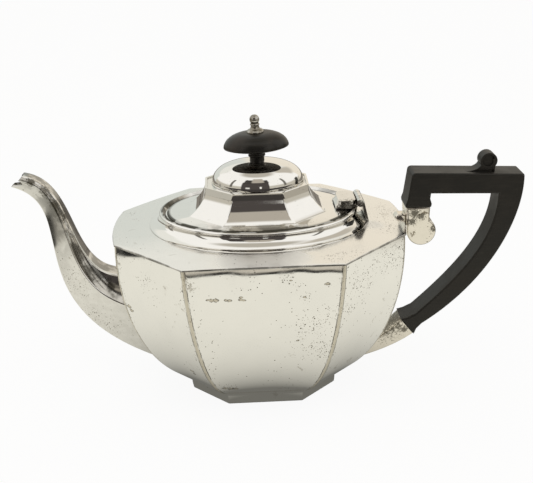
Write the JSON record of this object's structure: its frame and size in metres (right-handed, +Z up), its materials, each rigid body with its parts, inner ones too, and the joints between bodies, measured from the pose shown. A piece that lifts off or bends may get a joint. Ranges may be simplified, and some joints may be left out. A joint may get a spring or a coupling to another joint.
{
  "type": "teapot",
  "caption": "Panelled oval silver teapot with a swan-neck spout, hinged domed lid, dark lid knob and a dark angular handle pinned in silver sockets",
  "frame": {"origin": "on the table plane under the foot ring, on the upright axis of the body and lid", "axes": "+X toward the handle and -X toward the spout, +Y to the pot's far side, +Z up"},
  "size_m": [0.2875, 0.1298, 0.1623],
  "materials": {
    "silver_plate": "polished silver plate, lightly worn and pitted",
    "worn_silver": "duller silver plate with pits and tarnish",
    "ebonised_wood": "black stained hardwood with a low polish",
    "brass": "plain turned brass, dulled by steam"
  },
  "bodies": {
    "pot": {"body_shell": "silver_plate", "base_plate": "silver_plate", "foot_ring": "silver_plate", "shoulder_plate": "silver_plate", "collar_moulding": "silver_plate", "lid_bearer": "silver_plate", "spout": "silver_plate", "handle": "ebonised_wood", "upper_socket": "worn_silver", "socket_bracket": "worn_silver", "lower_socket": "worn_silver", "upper_handle_pin": "worn_silver", "lower_handle_pin": "worn_silver", "hinge_pot_leaf": "silver_plate", "hinge_pin": "silver_plate"},
    "lid": {"lid_cover": "silver_plate", "lid_dome": "silver_plate", "lid_bezel": "silver_plate", "hinge_lid_leaf": "silver_plate", "lid_knob": "ebonised_wood", "finial_stud": "silver_plate", "knob_washer": "brass", "knob_nut": "brass"}
  },
  "joints": [
    {"name": "lid_hinge", "type": "hinge", "parent": "pot", "child": "lid", "pos_m": [0.0574, 0, 0.1114], "axis": [0, 1, 0], "range_deg": [0, 90]}
  ]
}
